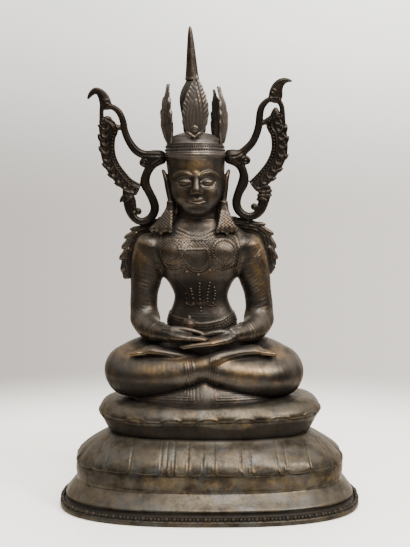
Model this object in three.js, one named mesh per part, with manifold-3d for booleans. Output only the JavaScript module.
// A crowned Buddha in cast bronze, seated with crossed legs on a waisted lotus plinth.
// Millimetres, +Z up. The origin is the middle of the plinth's underside, and the figure faces -Y.
// Its own right hand is on the -X side. Where a value is given for one side, "way" is the sign of x.
import * as THREE from "three";
import { mergeVertices } from "three/addons/utils/BufferGeometryUtils.js";
import Module from "manifold-3d";

const wasm = await Module();
wasm.setup();

// Driving dimensions
const TOP = 560; // ground to the tip of the spire
const BASE_HALF_WIDTH = 178.6;
const BASE_HALF_DEPTH = 118;
const LEAN = 0.04; // the whole figure leans to its right by this much for each millimetre of height
const SEAT = 129; // height of the plinth's top
const SPIRE_FOOT = 497; // height at which the spire stands on the topknot
const GAP = 0.3; // between pieces that touch

// Section counts
const PLINTH_SIDES = 32;
const BODY_SIDES = 16;
const LIMB_SIDES = 10;
const FINE_SIDES = 5;
const STRAP_SIDES = 6;

const V = (x, y, z) => new THREE.Vector3(x, y, z);
const mix = THREE.MathUtils.lerp;
const ramp = (v, low, high) => THREE.MathUtils.smoothstep(v, low, high);

// Solids and meshes

// A closed geometry over rings that all have the same number of points, with a fan over each end.
function skin(rings) {
  const sides = rings[0].length;
  const points = rings.flat();
  const middle = (ring) =>
    ring.reduce((sum, p) => sum.add(p), V(0, 0, 0)).divideScalar(sides);
  points.push(middle(rings[0]), middle(rings[rings.length - 1]));
  const foot = rings.length * sides;
  const faces = [];
  for (let i = 0; i < sides; i++) {
    const next = (i + 1) % sides;
    for (let r = 0; r + 1 < rings.length; r++) {
      const a = r * sides;
      const b = a + sides;
      faces.push(a + i, a + next, b + next, a + i, b + next, b + i);
    }
    faces.push(foot, next, i);
    const last = (rings.length - 1) * sides;
    faces.push(foot + 1, last + i, last + next);
  }
  const geometry = new THREE.BufferGeometry().setFromPoints(points);
  geometry.setIndex(faces);
  return geometry;
}

// The manifold solid of a closed geometry, turned to face outwards.
function solid(geometry) {
  const bare = geometry.clone();
  bare.deleteAttribute("normal");
  bare.deleteAttribute("uv");
  const merged = mergeVertices(bare, 1e-3);
  const build = (triVerts) =>
    new wasm.Manifold(
      new wasm.Mesh({
        numProp: 3,
        vertProperties: new Float32Array(merged.attributes.position.array),
        triVerts,
      }),
    );
  const faces = new Uint32Array(merged.index.array);
  const made = build(faces);
  return made.volume() > 0 ? made : build(faces.reverse());
}

const join = (solids) => solids.reduce((all, one) => all.add(one));

// A manifold solid as a flat-shaded three.js geometry.
function geometryOf(made) {
  const mesh = made.getMesh();
  const geometry = new THREE.BufferGeometry();
  geometry.setAttribute(
    "position",
    new THREE.BufferAttribute(new Float32Array(mesh.vertProperties), 3),
  );
  geometry.setIndex(new THREE.BufferAttribute(mesh.triVerts, 1));
  const flat = geometry.toNonIndexed();
  flat.computeVertexNormals();
  return flat;
}

// The figure is modelled upright and then leans, each level sliding sideways in proportion to its height.
function leaning(geometry) {
  return geometry.applyMatrix4(
    new THREE.Matrix4().makeShear(0, 0, 0, 0, -LEAN, 0),
  );
}

// Shapes

// One level of an upright form: a superellipse of half width a and half depth b about (0, y), at height z.
function level({ z, a, b, y = 0, n = 2, tilt = 0 }, sides, wave = () => 0) {
  return Array.from({ length: sides }, (_, i) => {
    const angle = (i / sides) * 2 * Math.PI;
    const c = Math.cos(angle);
    const s = Math.sin(angle);
    const px = Math.sign(c) * Math.abs(c) ** (2 / n) * a;
    const py = Math.sign(s) * Math.abs(s) ** (2 / n) * b + y;
    return V(px, py, z + tilt * (py - y) + wave(angle));
  });
}

function upright(levels, sides = BODY_SIDES) {
  return solid(skin(levels.map((l) => level(l, sides))));
}

// A rounded limb along a smooth line through stations of [x, y, z, half width, half thickness].
// The thickness lies along "flat", the width across it, and one edge may be cut into teeth.
// Its ends are rounded off over a share of their thickness. An end inside another solid needs none.
const ROUNDED_END = 0.62; // share of the full section that is left at the very end
function limb(stations, options = {}) {
  const {
    sides = LIMB_SIDES,
    steps = 8,
    flat = V(0, 0, 1),
    teeth = () => 0,
    startRound = 0,
    endRound = 0.6,
  } = options;
  const at = stations.map((s) => V(s[0], s[1], s[2]));
  const curve = new THREE.CatmullRomCurve3(at, false, "centripetal");
  const size = new THREE.CatmullRomCurve3(
    stations.map((s) => V(s[3], s[4] ?? s[3], 0)),
    false,
    "centripetal",
  );
  const ring = (t, share, push) => {
    const tangent = curve.getTangent(t);
    const side = new THREE.Vector3().crossVectors(tangent, flat).normalize();
    const up = new THREE.Vector3().crossVectors(side, tangent).normalize();
    const centre = curve.getPoint(t).addScaledVector(tangent, push);
    const half = size.getPoint(t);
    return Array.from({ length: sides }, (_, i) => {
      const angle = ((i + 0.5) / sides) * 2 * Math.PI;
      const across = Math.cos(angle) * (half.x + (Math.cos(angle) > 0 ? teeth(t) : 0));
      return centre
        .clone()
        .addScaledVector(side, across * share)
        .addScaledVector(up, Math.sin(angle) * half.y * share);
    });
  };
  const first = Math.min(...stations[0].slice(3));
  const last = Math.min(...stations[stations.length - 1].slice(3));
  const rings = startRound > 0 ? [ring(0, ROUNDED_END, -first * startRound)] : [];
  for (let i = 0; i <= steps; i++) rings.push(ring(i / steps, 1, 0));
  rings.push(ring(1, ROUNDED_END, last * endRound));
  return solid(skin(rings));
}

// A bunch of fingers, toes or lobes side by side, as one solid that rises over each of them and dips
// between. Stations are [x, y, z, half span over all of them, half thickness]. They point along "along".
const DIP = 0.4; // share of the thickness that is left between two fingers

function bunch(stations, { count, along, across, up, slant = 0, lead }) {
  const rings = stations.map(([x, y, z, span, thick], r) => {
    const last = r === stations.length - 1;
    const corner = (j, side) => {
      const crest = j % 2 === 1;
      const aside = (j / count - 1) * span;
      const edge = j === 0 || j === 2 * count;
      const height = edge ? 0 : crest ? thick : thick * DIP;
      const reach = (last ? (crest ? lead : -lead) : 0) + (slant * aside * r) / stations.length;
      return V(x, y, z)
        .addScaledVector(along, reach)
        .addScaledVector(across, aside)
        .addScaledVector(up, side * height);
    };
    const over = Array.from({ length: 2 * count + 1 }, (_, j) => corner(j, 1));
    const under = [Math.round(1.5 * count), Math.round(0.5 * count)].map((j) => corner(j, -1));
    return over.concat(under);
  });
  return solid(skin(rings));
}

const flipX = (stations) => stations.map(([x, ...rest]) => [-x, ...rest]);
const turned = (stations, way) => (way > 0 ? stations : flipX(stations));

// An ellipsoid of a few faces, for eyes, knobs and bosses.
function pebble([x, y, z], [rx, ry, rz], width = 8, height = 5) {
  const geometry = new THREE.SphereGeometry(1, width, height);
  geometry.scale(rx, rz, ry).rotateX(Math.PI / 2).translate(x, y, z);
  return solid(geometry);
}

// The plinth

const PETAL_DROP = 4.5; // the tip of a petal hangs this far below the notch beside it
const ARCH_RISE = 3.5;

// Heights of the plinth's outline with half width and half depth, from the ground up.
const PLINTH_LEVELS = [
  { z: 0, a: BASE_HALF_WIDTH - 1, b: BASE_HALF_DEPTH - 1 },
  { z: 3, a: BASE_HALF_WIDTH, b: BASE_HALF_DEPTH },
  { z: 10.5, a: BASE_HALF_WIDTH - 0.5, b: BASE_HALF_DEPTH - 0.5 },
  { z: 14, a: BASE_HALF_WIDTH - 7, b: BASE_HALF_DEPTH - 7 },
  { z: 24, a: 165, b: 99.5 },
  { z: 33, a: 157, b: 91.5 },
  { z: 57, a: 156.5, b: 93, wave: "petals" },
  { z: 59, a: 158, b: 95, wave: "petals" },
  { z: 69, a: 147.5, b: 88 },
  { z: 80, a: 132, b: 77 },
  { z: 89, a: 117.5, b: 66 },
  { z: 109.5, a: 128, b: 71, wave: "arches" },
  { z: 112, a: 130.5, b: 73, wave: "arches" },
  { z: 120, a: 128.5, b: 69.5 },
  { z: 126, a: 123, b: 63 },
  { z: SEAT, a: 112, b: 55 },
];
const PLINTH_SQUARENESS = 2.6;
const SEAT_TILT = 0.012; // the seat's right end stands a little higher

function plinth() {
  // A petal or an arch spans two sides, so that every other corner of the ring is its tip.
  const everyOther = (angle) => Math.round((angle / (2 * Math.PI)) * PLINTH_SIDES) % 2;
  const waves = {
    petals: (angle) => -PETAL_DROP * everyOther(angle),
    arches: (angle) => ARCH_RISE * everyOther(angle),
  };
  const rings = PLINTH_LEVELS.map((l) => {
    const ring = level({ n: PLINTH_SQUARENESS, ...l }, PLINTH_SIDES, waves[l.wave]);
    const share = ramp(l.z, 88, 113);
    ring.forEach((p) => (p.z += SEAT_TILT * p.x * share));
    return ring;
  });
  return solid(skin(rings));
}

// The robe's end spreads as a low mound over the seat, in front of the ankles.
const ROBE_FAN = { at: [0, -18, 126], size: [72, 44, 36] };

// The body, from the seat to the neck

const TORSO = [
  { z: 134, a: 60, b: 38, y: 8 },
  { z: 178, a: 54, b: 33, y: 9 },
  { z: 207, a: 43.5, b: 27.5, y: 8.5 },
  { z: 208, a: 45, b: 29, y: 8.5 },
  { z: 223, a: 41, b: 26.5, y: 8 },
  { z: 225, a: 37, b: 23.5, y: 8 },
  { z: 247, a: 31.5, b: 20.5, y: 8 },
  { z: 260, a: 36.5, b: 22.5, y: 7 },
  { z: 272, a: 45, b: 26, y: 6 },
  { z: 293, a: 51, b: 28.5, y: 6, n: 2.2 },
  { z: 310, a: 57, b: 25.5, y: 7, n: 2.3 },
  { z: 322, a: 53, b: 20, y: 7, n: 2.2 },
  { z: 329, a: 45, b: 19, y: 6.5 },
  { z: 336, a: 33, b: 18.5, y: 5.5 },
  { z: 345, a: 26, b: 18.5, y: 4 },
  { z: 360, a: 25, b: 18.5, y: 4 },
];

const UPPER_ARM = [
  [58, 8, 306, 18.5],
  [61.5, 9, 288, 20],
  [63.5, 9, 270, 19],
  [66.5, 9, 252, 16.3],
  [67, 6, 222, 17],
];
const FOREARM = [
  [67.5, 5, 218, 17],
  [62, -12, 211, 15],
  [52, -28, 208.5, 12],
  [41, -40, 208, 9.5],
  [33, -46, 207, 9],
];

const THIGH = [
  [34, 20, 170, 36, 34],
  [66, 4, 166, 35, 32],
  [91, -10, 159.5, 30.5, 29],
];
const SHIN = [
  [91, -12, 159, 30.5, 28],
  [75, -28, 157.5, 28.5, 25.5],
  [47, -39, 160, 24.5, 23],
  [22, -47, 165, 18, 18],
  [4, -51, 170, 13, 13],
];
// The right foot comes over the ankle of the left one and lies on the left thigh.
const UPPER_FOOT = [
  [-4, -54, 171, 11.5, 12],
  [14, -52, 180, 11, 9.5],
  [34, -45, 186.5, 12, 7.5],
  [56, -38, 189, 13, 6.5],
  [70, -35, 186.5, 12, 4],
];
const LOWER_FOOT = [
  [4, -42, 172, 11.5, 11],
  [-12, -42, 181, 11, 8],
  [-32, -40, 185.5, 12, 6.5],
  [-56, -37, 188, 13, 6],
  [-70, -35, 186, 12, 4],
];
const TOES = { count: 5, across: V(0, 1, 0), up: V(0, 0, 1), slant: -0.35, lead: 1.6 };
const TOE_STATIONS = [
  [66, -35, 185.3, 12.5, 3.6],
  [77, -35, 184.2, 12.5, 3.2],
  [82, -35, 183.4, 12, 2.2],
];

// The hands lie in the lap with the palms up, the right hand in the left one, thumb tips together.
const HANDS = [
  {
    way: -1,
    palm: [
      [36, -44, 207, 9, 8.5],
      [24, -50, 203, 12.5, 6.5],
      [9, -53, 200, 12.5, 5.5],
    ],
    fingers: [
      [11, -53, 199.5, 12, 3.6],
      [-8, -54.5, 198, 11.5, 3.2],
      [-19, -55.5, 196.5, 9.5, 2.2],
    ],
    thumb: [
      [34, -47, 210, 4.5],
      [20, -49, 211.5, 4],
      [0, -50, 208.5, 3],
    ],
  },
  {
    way: 1,
    palm: [
      [-36, -43, 208, 9, 8.5],
      [-26, -49, 207, 12.5, 6.5],
      [-14, -51, 206, 12.5, 5],
    ],
    fingers: [
      [-16, -51, 205.8, 12, 3.4],
      [-6, -52, 205, 11.5, 3],
      [1, -53, 204, 9.5, 2],
    ],
    thumb: [
      [-36, -46, 214, 4.2],
      [-20, -48, 214, 3.8],
      [-2, -50, 210.5, 3],
    ],
  },
];
const FINGERS = { count: 4, across: V(0, 1, 0), up: V(0, 0, 1), slant: 0.25, lead: 1.8 };

function hand({ way, palm, fingers, thumb }) {
  return [
    limb(palm, { sides: 8, steps: 3 }),
    bunch(fingers, { ...FINGERS, along: V(way, 0, 0) }),
    limb(thumb, { sides: FINE_SIDES, steps: 3 }),
  ];
}

// The small lidded jar that stands on the right palm.
const JAR = [
  { z: 208, a: 4.5, b: 4.5 },
  { z: 218, a: 7.2, b: 7.2 },
  { z: 223.5, a: 6.4, b: 6.4 },
  { z: 226, a: 2, b: 2 },
  { z: 229.5, a: 1.6, b: 1.6 },
];
const JAR_AT = [-14, -43];

function jar() {
  const rings = JAR.map((l) =>
    level(l, 8).map((p) => p.add(V(...JAR_AT, 0))),
  );
  return solid(skin(rings));
}

// Two round breast ornaments lie on the chest, and a clasp closes the belt.
const BREAST_DISC = { radius: 12, rim: 2 };
const DISC_PLACES = [
  { at: [28.9, -18, 301.5], turn: 0.35 },
  { at: [-33, -16.7, 301.5], turn: -0.4 },
]; // turned outwards, with the curve of the chest
const DISC_TILT = 0.2; // upwards
const CLASP = { at: [2, -19.5, 217], size: [8, 3.5, 7] };

function breastDisc({ at, turn }) {
  const { radius, rim } = BREAST_DISC;
  const disc = new THREE.CylinderGeometry(radius - rim, radius, 2 * rim, 10);
  disc.rotateX(Math.PI - DISC_TILT).rotateZ(turn).translate(...at);
  return solid(disc);
}

function body() {
  const sides = (stations, options) => [
    limb(stations, options),
    limb(flipX(stations), options),
  ];
  return [
    upright(TORSO),
    ...sides(UPPER_ARM, { steps: 4, startRound: 0.6, flat: V(0, -1, 0) }),
    ...sides(FOREARM, { steps: 3 }),
    ...sides(THIGH, { steps: 3 }),
    ...sides(SHIN, { steps: 5, startRound: 0.6 }),
    limb(UPPER_FOOT, { sides: 8, steps: 3 }),
    limb(LOWER_FOOT, { sides: 8, steps: 3 }),
    ...[1, -1].map((way) =>
      bunch(turned(TOE_STATIONS, way), { ...TOES, along: V(way, 0, 0) }),
    ),
    ...HANDS.flatMap(hand),
    jar(),
    ...DISC_PLACES.map(breastDisc),
    pebble(CLASP.at, CLASP.size, 6, 4),
  ];
}

// The head

const SKULL = [
  { z: 345, a: 9, b: 8, y: -19 },
  { z: 348.5, a: 16.5, b: 16, y: -15 },
  { z: 356, a: 23.5, b: 23.5, y: -8.5 },
  { z: 367, a: 29, b: 30, y: -3.5 },
  { z: 382, a: 31.8, b: 33.5, y: 0 },
  { z: 398, a: 34, b: 35, y: 1 },
  { z: 414, a: 34.8, b: 34.2, y: 1 },
];
// Eyes on the middle line of the head, then brow, nose and chin a third of the face apart.
const FACE = {
  brow: [
    [3.5, -33.6, 389.5, 1.4],
    [13.5, -32.6, 393.6, 1.5],
    [25, -23, 388.5, 1.2],
  ],
  eye: { at: [13, -28.6, 382.6], size: [8, 4.4, 4] },
  nose: [
    [0, -32.5, 391, 2.4, 2.2],
    [0, -35.5, 382, 2.8, 3],
    [0, -38.6, 373, 4.4, 4.4],
  ],
  nostril: { at: [4.2, -34.4, 370.4], size: [2.8, 3.6, 2.7] },
  upperLip: [
    [-9, -28.6, 361.4, 0.9],
    [0, -32.2, 361.9, 1.9],
    [9, -28.6, 361.4, 0.9],
  ],
  lowerLip: [
    [-7.5, -28.6, 359.3, 0.8],
    [0, -31.6, 357.8, 2.1],
    [7.5, -28.6, 359.3, 0.8],
  ],
  chin: { at: [0, -25.5, 350.5], size: [8, 5.5, 5.5] },
};

function face() {
  const { brow, eye, nose, nostril, upperLip, lowerLip, chin } = FACE;
  const fine = { sides: FINE_SIDES, steps: 2 };
  const mirrored = ([x, y, z]) => [-x, y, z];
  return [
    limb(brow, fine),
    limb(flipX(brow), fine),
    pebble(eye.at, eye.size, 6, 4),
    pebble(mirrored(eye.at), eye.size, 6, 4),
    limb(nose, { ...fine, sides: 6, flat: V(0, -1, 0) }),
    pebble(nostril.at, nostril.size, 6, 4),
    pebble(mirrored(nostril.at), nostril.size, 6, 4),
    limb(upperLip, fine),
    limb(lowerLip, fine),
    pebble(chin.at, chin.size),
  ];
}

// The long ear stands out at the top; below its lobe a scalloped pendant spreads over the collarbone.
const EAR = [
  [39.5, 5, 391.5, 5, 2],
  [35.5, 3, 383, 8, 4.5],
  [33.5, 1, 373, 7, 5],
  [30.5, -2, 360, 5.5, 4.6],
  [30, -4, 350, 6, 4],
];
// The figure's right pendant, at -X, hangs further out than its left one. Feet are [x, y].
const LOBE = [30.5, -4];
const PENDANTS = [
  { way: -1, foot: [43, -8.5] },
  { way: 1, foot: [33, -11.5] },
];
const PENDANT_LOBES = { count: 3, up: V(0, -0.92, 0.39), lead: 2.4 };

function ears() {
  return PENDANTS.flatMap(({ way, foot }) => {
    const at = (share, z) => [way * mix(LOBE[0], foot[0], share), mix(LOBE[1], foot[1], share), z];
    const hang = [
      [...at(0, 353), 5, 4],
      [...at(0.35, 341), 7.5, 4],
      [...at(0.8, 329), 11, 4],
      [...at(1, 320.5), 12, 2.6],
    ];
    const down = V(...at(1, 320.5)).sub(V(...at(0.35, 341))).normalize();
    const across = new THREE.Vector3().crossVectors(PENDANT_LOBES.up, down).normalize();
    return [
      limb(turned(EAR, way), { sides: STRAP_SIDES, steps: 4, flat: V(1, 0, 0), startRound: 0.6 }),
      bunch(hang, { ...PENDANT_LOBES, along: down, across }),
    ];
  });
}

// The shoulder guards: thin plates behind the arms whose outer edge is cut into steps.
const GUARDS = [
  {
    way: -1,
    line: [
      [30, 336],
      [52, 334],
      [73.5, 325.5],
      [83.5, 315.8],
      [88, 302.6],
      [91.7, 287.7],
      [90, 272],
    ],
  },
  {
    way: 1,
    line: [
      [30, 336],
      [50, 335],
      [71, 331],
      [84, 320.8],
      [87.5, 304.2],
      [89, 289],
      [84, 281],
    ],
  },
];
const GUARD_ROOT = [
  [60, 290],
  [28, 322],
]; // hidden behind the arm and the neck
const GUARD_STEPS = 7;
const GUARD_STEP_LENGTH = 0.85; // share of its pitch, before the edge falls back
const GUARD_TOOTH = 3;
const GUARD_Y = 11;
const GUARD_THICKNESS = 5;

function guard({ way, line }) {
  const spline = new THREE.SplineCurve(line.map(([x, z]) => new THREE.Vector2(x, z)));
  const outer = [];
  for (let i = 0; i < GUARD_STEPS; i++) {
    const start = spline.getPoint(i / GUARD_STEPS);
    const end = spline.getPoint((i + GUARD_STEP_LENGTH) / GUARD_STEPS);
    const along = end.clone().sub(start).normalize();
    outer.push(start, end.add(new THREE.Vector2(-along.y, along.x).multiplyScalar(GUARD_TOOTH)));
  }
  outer.push(spline.getPoint(1), ...GUARD_ROOT.map(([x, z]) => new THREE.Vector2(x, z)));
  const shape = new THREE.Shape(outer.map((p) => new THREE.Vector2(way * p.x, p.y)));
  const geometry = new THREE.ExtrudeGeometry(shape, {
    depth: GUARD_THICKNESS,
    bevelEnabled: false,
  });
  // The outline is drawn in x and z, and its thickness runs back from the guard's front.
  geometry.rotateX(Math.PI / 2).translate(0, GUARD_Y + GUARD_THICKNESS, 0);
  return solid(geometry);
}

// The crown

const CROWN_JEWEL = { at: [0, -31, 444], size: [6.5, 4, 6.5] };
const CROWN_TILT = -0.1; // the band rises towards the forehead
const CROWN_BAND = [
  { z: 409.6, a: 34.6, b: 34.2, y: 1, tilt: CROWN_TILT },
  { z: 411.2, a: 36.6, b: 36.6, y: 1, tilt: CROWN_TILT },
  { z: 416.5, a: 35.4, b: 35.2, y: 1, tilt: CROWN_TILT },
  { z: 418.5, a: 36.5, b: 36.4, y: 1, tilt: CROWN_TILT },
  { z: 425.5, a: 35.8, b: 35.7, y: 1, tilt: CROWN_TILT },
  { z: 430.5, a: 30.8, b: 31, y: 1, tilt: CROWN_TILT },
  { z: 435.5, a: 21.4, b: 22.2, y: 1, tilt: CROWN_TILT },
];
const TOPKNOT = [
  { z: 434, a: 12, b: 12 },
  { z: 447, a: 12.5, b: 12.5 },
  { z: 463, a: 14.6, b: 14.6 },
  { z: 475, a: 15.6, b: 15.6 },
  { z: 484, a: 14, b: 14 },
  { z: SPIRE_FOOT, a: 7.8, b: 7.8 },
];
// Each crown leaf: degrees round from the front, height of its tip, and share of the full width.
const LEAVES = [
  { turn: 0, tip: 500, wide: 1.12, radius: 28 },
  { turn: 72, tip: 491, wide: 0.92, radius: 33 },
  { turn: 130, tip: 487, wide: 0.9, radius: 32 },
  { turn: 180, tip: 492, wide: 1, radius: 30 },
  { turn: -115, tip: 484, wide: 0.9, radius: 33 },
  { turn: -62, tip: 494, wide: 0.95, radius: 32 },
];
const LEAF_FOOT = 426;
const LEAF_HALF_WIDTH = 14;
const LEAF_HALF_THICKNESS = 2.6;
const LEAF_BELLY = 3; // how far the middle of a leaf stands out from its foot and tip
// Share of the height against share of the half width.
const LEAF_OUTLINE = [
  [0, 0.5],
  [0.16, 0.86],
  [0.36, 1],
  [0.58, 0.86],
  [0.8, 0.5],
  [0.94, 0.2],
];

function leaf({ turn, tip, wide, radius }) {
  const angle = THREE.MathUtils.degToRad(turn);
  const out = V(Math.sin(angle), -Math.cos(angle), 0);
  const foot = turn === 0 ? LEAF_FOOT + 6 : LEAF_FOOT;
  const stations = LEAF_OUTLINE.map(([up, share]) => {
    const reach = radius + LEAF_BELLY * Math.sin(Math.PI * up);
    const thin = LEAF_HALF_THICKNESS * (0.55 + 0.45 * share);
    return [
      out.x * reach,
      out.y * reach,
      mix(foot, tip - 2, up),
      LEAF_HALF_WIDTH * wide * share,
      thin,
    ];
  });
  return limb(stations, { sides: STRAP_SIDES, steps: 4, flat: out, endRound: 3 });
}

function crown() {
  return [
    upright(CROWN_BAND, 16),
    upright(TOPKNOT, 10),
    ...LEAVES.map(leaf),
    pebble(CROWN_JEWEL.at, CROWN_JEWEL.size, 6, 4),
  ];
}

function statue() {
  const figure = join([
    ...body(),
    upright(SKULL, 14),
    ...face(),
    ...ears(),
    ...GUARDS.map(guard),
    ...crown(),
  ]);
  const leant = solid(leaning(geometryOf(figure)));
  const fan = pebble(ROBE_FAN.at, ROBE_FAN.size, 12, 6);
  return join([plinth(), leant, fan]);
}

// The spire of the crown, a tapering finial that stands on the topknot

const SPIRE = [
  { z: SPIRE_FOOT + GAP, a: 6.6, b: 6.6 },
  { z: SPIRE_FOOT + GAP + 1.5, a: 8.1, b: 8.1 },
  { z: 508, a: 7.4, b: 7.4 },
  { z: 532, a: 5.1, b: 5.1 },
  { z: 554, a: 2.7, b: 2.7 },
  { z: TOP, a: 0.9, b: 0.9 },
];

// The ribbons that fly from the temples, drawn in x and z in a plane beside the head.
// Each station is [x, z, half width in the plane, half thickness].
const RIBBON_Y = 6;
const STRAP_SPREAD = 1.1; // makes up for what a strap's flat sides leave off
const RIBBON_RIGHT = {
  out: -1,
  root: { at: [-46.5, 408], size: [11, 6, 9.5] },
  stem: [
    [-41, 411.5, 5, 4.4],
    [-52, 411.5, 5, 4.4],
    [-61.5, 412.5, 5, 4.3],
    [-69.8, 417.6, 4.9, 4.2],
    [-77, 428.5, 4.3, 4.1],
    [-81, 440, 4.1, 4],
    [-82.3, 450.4, 3.9, 4],
    [-86, 460.4, 3.7, 4],
    [-92.4, 466.4, 3.2, 4],
    [-100, 468, 3.2, 4],
  ],
  head: [
    [-100.6, 467, 6, 4],
    [-101.8, 472, 6.8, 4.2],
    [-104, 478.8, 6, 4.2],
    [-108, 484, 4.5, 3.9],
    [-113, 485.6, 3.7, 3.4],
    [-118, 482, 2.8, 2.8],
    [-121.2, 477.8, 1.6, 2],
  ],
  link: [
    [-104.6, 473, 3.2, 3.8],
    [-106.6, 465, 2.5, 3.4],
    [-107.2, 451, 2.7, 3.4],
  ],
  blade: [
    [-104.3, 452.4, 6.6, 3.6],
    [-99.8, 442.3, 11, 4],
    [-101.4, 433.2, 9.4, 4],
    [-102, 420.7, 8.4, 4],
    [-100.7, 408.3, 8.4, 4],
    [-96.3, 397, 8.4, 4],
    [-89, 386.2, 8.4, 4],
    [-80.3, 377, 8.2, 4],
    [-68.2, 370.9, 7.2, 4],
  ],
  touch: [
    [-93, 441.6, 3.4, 3.4],
    [-83.4, 443, 2.2, 3],
  ],
  tail: [
    [-42, 406, 5, 4.4],
    [-51.5, 399.3, 4.8, 4.3],
    [-57.6, 389.5, 4.5, 4.2],
    [-60.2, 378.8, 5.4, 4.2],
    [-56, 369.1, 4.6, 4.2],
    [-51.2, 357.8, 4.6, 4.2],
    [-49.9, 348.1, 4.6, 4.2],
    [-55, 338.3, 4.5, 4.1],
    [-64.8, 333.5, 4.1, 4],
    [-73.5, 336.7, 4.2, 3.9],
    [-78.6, 344.8, 4.8, 4],
    [-79.6, 353, 6.2, 4.2],
    [-80, 362, 6.8, 4.2],
    [-80.4, 370, 6.2, 4.2],
  ],
  bud: [-69.6, 345.8],
  arm: [
    [-76, 343.4, 2.4, 3],
    [-70, 345.4, 2.4, 3],
  ],
  boss: [-60, 402.6],
};
const RIBBON_LEFT = {
  out: 1,
  root: { at: [46, 408.6], size: [10.5, 6.2, 9.5] },
  stem: [
    [41, 409.6, 5, 4.4],
    [50, 411.5, 5, 4.3],
    [59.6, 418.5, 4.5, 4.2],
    [68.6, 428.7, 4.2, 4.1],
    [74.7, 444, 4.2, 4],
    [76.8, 459, 4.1, 4],
    [80, 468.4, 3.6, 4],
    [87.2, 475.3, 2.9, 3.9],
    [95, 476.4, 2.9, 3.8],
  ],
  head: [
    [95, 474.6, 6, 4],
    [95.8, 480, 7.9, 4.2],
    [97.3, 487.5, 7, 4.2],
    [100.9, 493.7, 5.3, 3.8],
    [105.6, 496.9, 3.7, 3.3],
    [110.2, 497.8, 2.4, 2.6],
    [113.8, 497.2, 1.5, 1.8],
  ],
  link: [
    [98, 475.4, 3, 3.8],
    [102.4, 467, 2.9, 3.5],
    [103.3, 449, 2.9, 3.4],
  ],
  blade: [
    [97.6, 459.5, 5, 3.6],
    [94.6, 448.5, 11, 4],
    [97.6, 437.5, 9.6, 4],
    [98.6, 427, 9.2, 4],
    [98, 416.5, 9.3, 4],
    [94.6, 406.5, 9.2, 4],
    [89.3, 397.2, 9, 4],
    [82.8, 389, 9, 4],
    [75.6, 381.8, 8.4, 4],
    [66, 374.8, 7.4, 4],
  ],
  touch: [
    [87, 448.4, 3.4, 3.4],
    [78, 447.4, 2.2, 3],
  ],
  tail: [
    [42.2, 406.5, 5, 4.4],
    [51.4, 399.7, 4.8, 4.3],
    [55.4, 389.9, 4.5, 4.2],
    [54.8, 380, 5.9, 4.2],
    [48.8, 367.6, 4.7, 4.2],
    [45.6, 356, 4.6, 4.2],
    [48.4, 346.2, 4.5, 4.1],
    [57, 340, 4.2, 4],
    [66.4, 340.8, 4.2, 3.9],
    [73, 346.6, 4.8, 3.9],
    [76.8, 355, 5.4, 4],
    [79.2, 366, 6.8, 4],
    [80.2, 375, 5.8, 4],
  ],
  bud: [66.4, 351.2],
  arm: [
    [72.6, 350.2, 2.4, 3],
    [67, 351.4, 2.4, 3],
  ],
  boss: [58.4, 405.6],
};
const BLADE_TEETH = 6;
const BLADE_TOOTH = 3.6;

function ribbon({ out, root, stem, head, link, blade, touch, tail, bud, arm, boss }) {
  const planar = (stations) => stations.map(([x, z, w, t]) => [x, RIBBON_Y, z, w * STRAP_SPREAD, t]);
  const flat = V(0, out, 0);
  const strap = (stations, steps, extra = {}) =>
    limb(planar(stations), { sides: STRAP_SIDES, steps, flat, ...extra });
  const saw = (t) => BLADE_TOOTH * ((Math.round(t * BLADE_TEETH * 2) + 1) % 2);
  const [[rx, rz], [sx, sy, sz]] = [root.at, root.size];
  return join([
    pebble([rx, RIBBON_Y, rz], [sx, sy, sz], 7, 4),
    strap(stem, 7),
    strap(head, 5, { endRound: 2 }),
    strap(link, 2, { sides: 4 }),
    strap(blade, BLADE_TEETH * 2, { teeth: saw, startRound: 0.6 }),
    strap(tail, 10),
    strap(arm, 1, { sides: 4 }),
    strap(touch, 1, { sides: 4 }),
    pebble([bud[0], RIBBON_Y, bud[1]], [4, 3.6, 4], 5, 4),
    pebble([boss[0], RIBBON_Y, boss[1]], [5.5, 4.2, 5], 5, 4),
  ]);
}

// Finishes
const BRONZE = new THREE.MeshStandardMaterial({
  color: new THREE.Color(0.2, 0.155, 0.115),
  roughness: 0.42,
  metalness: 0.9,
});
const DARK_BRONZE = new THREE.MeshStandardMaterial({
  color: new THREE.Color(0.12, 0.09, 0.075),
  roughness: 0.5,
  metalness: 0.85,
});

function piece(name, made, material) {
  const mesh = new THREE.Mesh(geometryOf(made), material);
  mesh.name = name;
  return mesh;
}

const leantPiece = (name, made, material) =>
  piece(name, solid(leaning(geometryOf(made))), material);

// A ribbon's root is cut back where it meets the crown, so that the two only touch.
const headWithRoom = upright(
  [
    { z: 340, a: 41, b: 42, y: 1 },
    { z: 440, a: 37.2, b: 38.8, y: 1 },
  ],
  20,
);

const group = new THREE.Group();
group.add(
  piece("statue", statue(), BRONZE),
  leantPiece("crown_spire", upright(SPIRE, 12), BRONZE),
  leantPiece("ribbon_right", ribbon(RIBBON_RIGHT).subtract(headWithRoom), DARK_BRONZE),
  leantPiece("ribbon_left", ribbon(RIBBON_LEFT).subtract(headWithRoom), DARK_BRONZE),
);
export default group;
